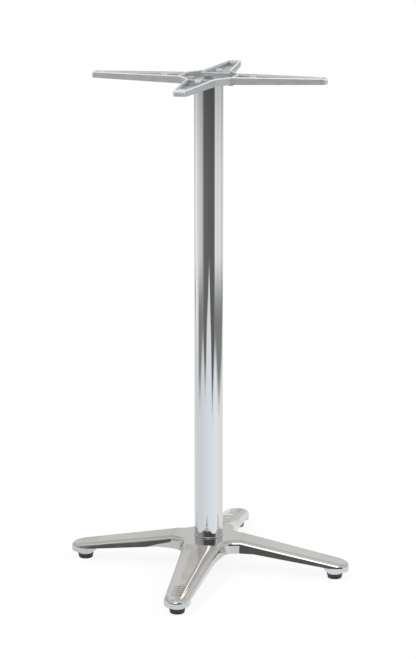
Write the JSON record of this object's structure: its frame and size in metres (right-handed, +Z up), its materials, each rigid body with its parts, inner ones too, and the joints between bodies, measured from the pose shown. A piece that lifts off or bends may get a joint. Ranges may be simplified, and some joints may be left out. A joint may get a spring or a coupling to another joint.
{
  "type": "bar table base",
  "caption": "Bar-height table base with a polished cross foot on glide pads, a round chromed column and a cast top spider that screws under a table top.",
  "frame": {"origin": "on the floor under the middle of the column", "axes": "+Z up along the column, +X along the right side leg, -Y along the front leg"},
  "size_m": [0.607, 0.607, 1.055],
  "materials": {
    "polished_casting": "mirror polished",
    "chromed_tube": "mirror polished",
    "satin_casting": "satin, as cast and tumbled",
    "zinc_steel": "zinc plated",
    "black_steel": "black oxide",
    "black_pad": "matte"
  },
  "bodies": {
    "root": {"base_crosspiece": "polished_casting", "base_leg_right": "polished_casting", "base_leg_left": "polished_casting", "column_tube": "chromed_tube", "spider_crosspiece": "satin_casting", "spider_arm_right": "satin_casting", "spider_arm_left": "satin_casting", "spider_arm_bolts": "black_steel", "leg_bolts": "zinc_steel", "leg_bolt_washers": "zinc_steel", "tie_rod": "zinc_steel", "tie_rod_lower_washer": "zinc_steel", "tie_rod_lower_nut": "zinc_steel", "tie_rod_upper_washer": "zinc_steel", "tie_rod_upper_nut": "zinc_steel", "foot_pad_front": "black_pad", "foot_stud_front": "zinc_steel", "foot_pad_rear": "black_pad", "foot_stud_rear": "zinc_steel", "foot_pad_left": "black_pad", "foot_stud_left": "zinc_steel", "foot_pad_right": "black_pad", "foot_stud_right": "zinc_steel"}
  },
  "joints": []
}
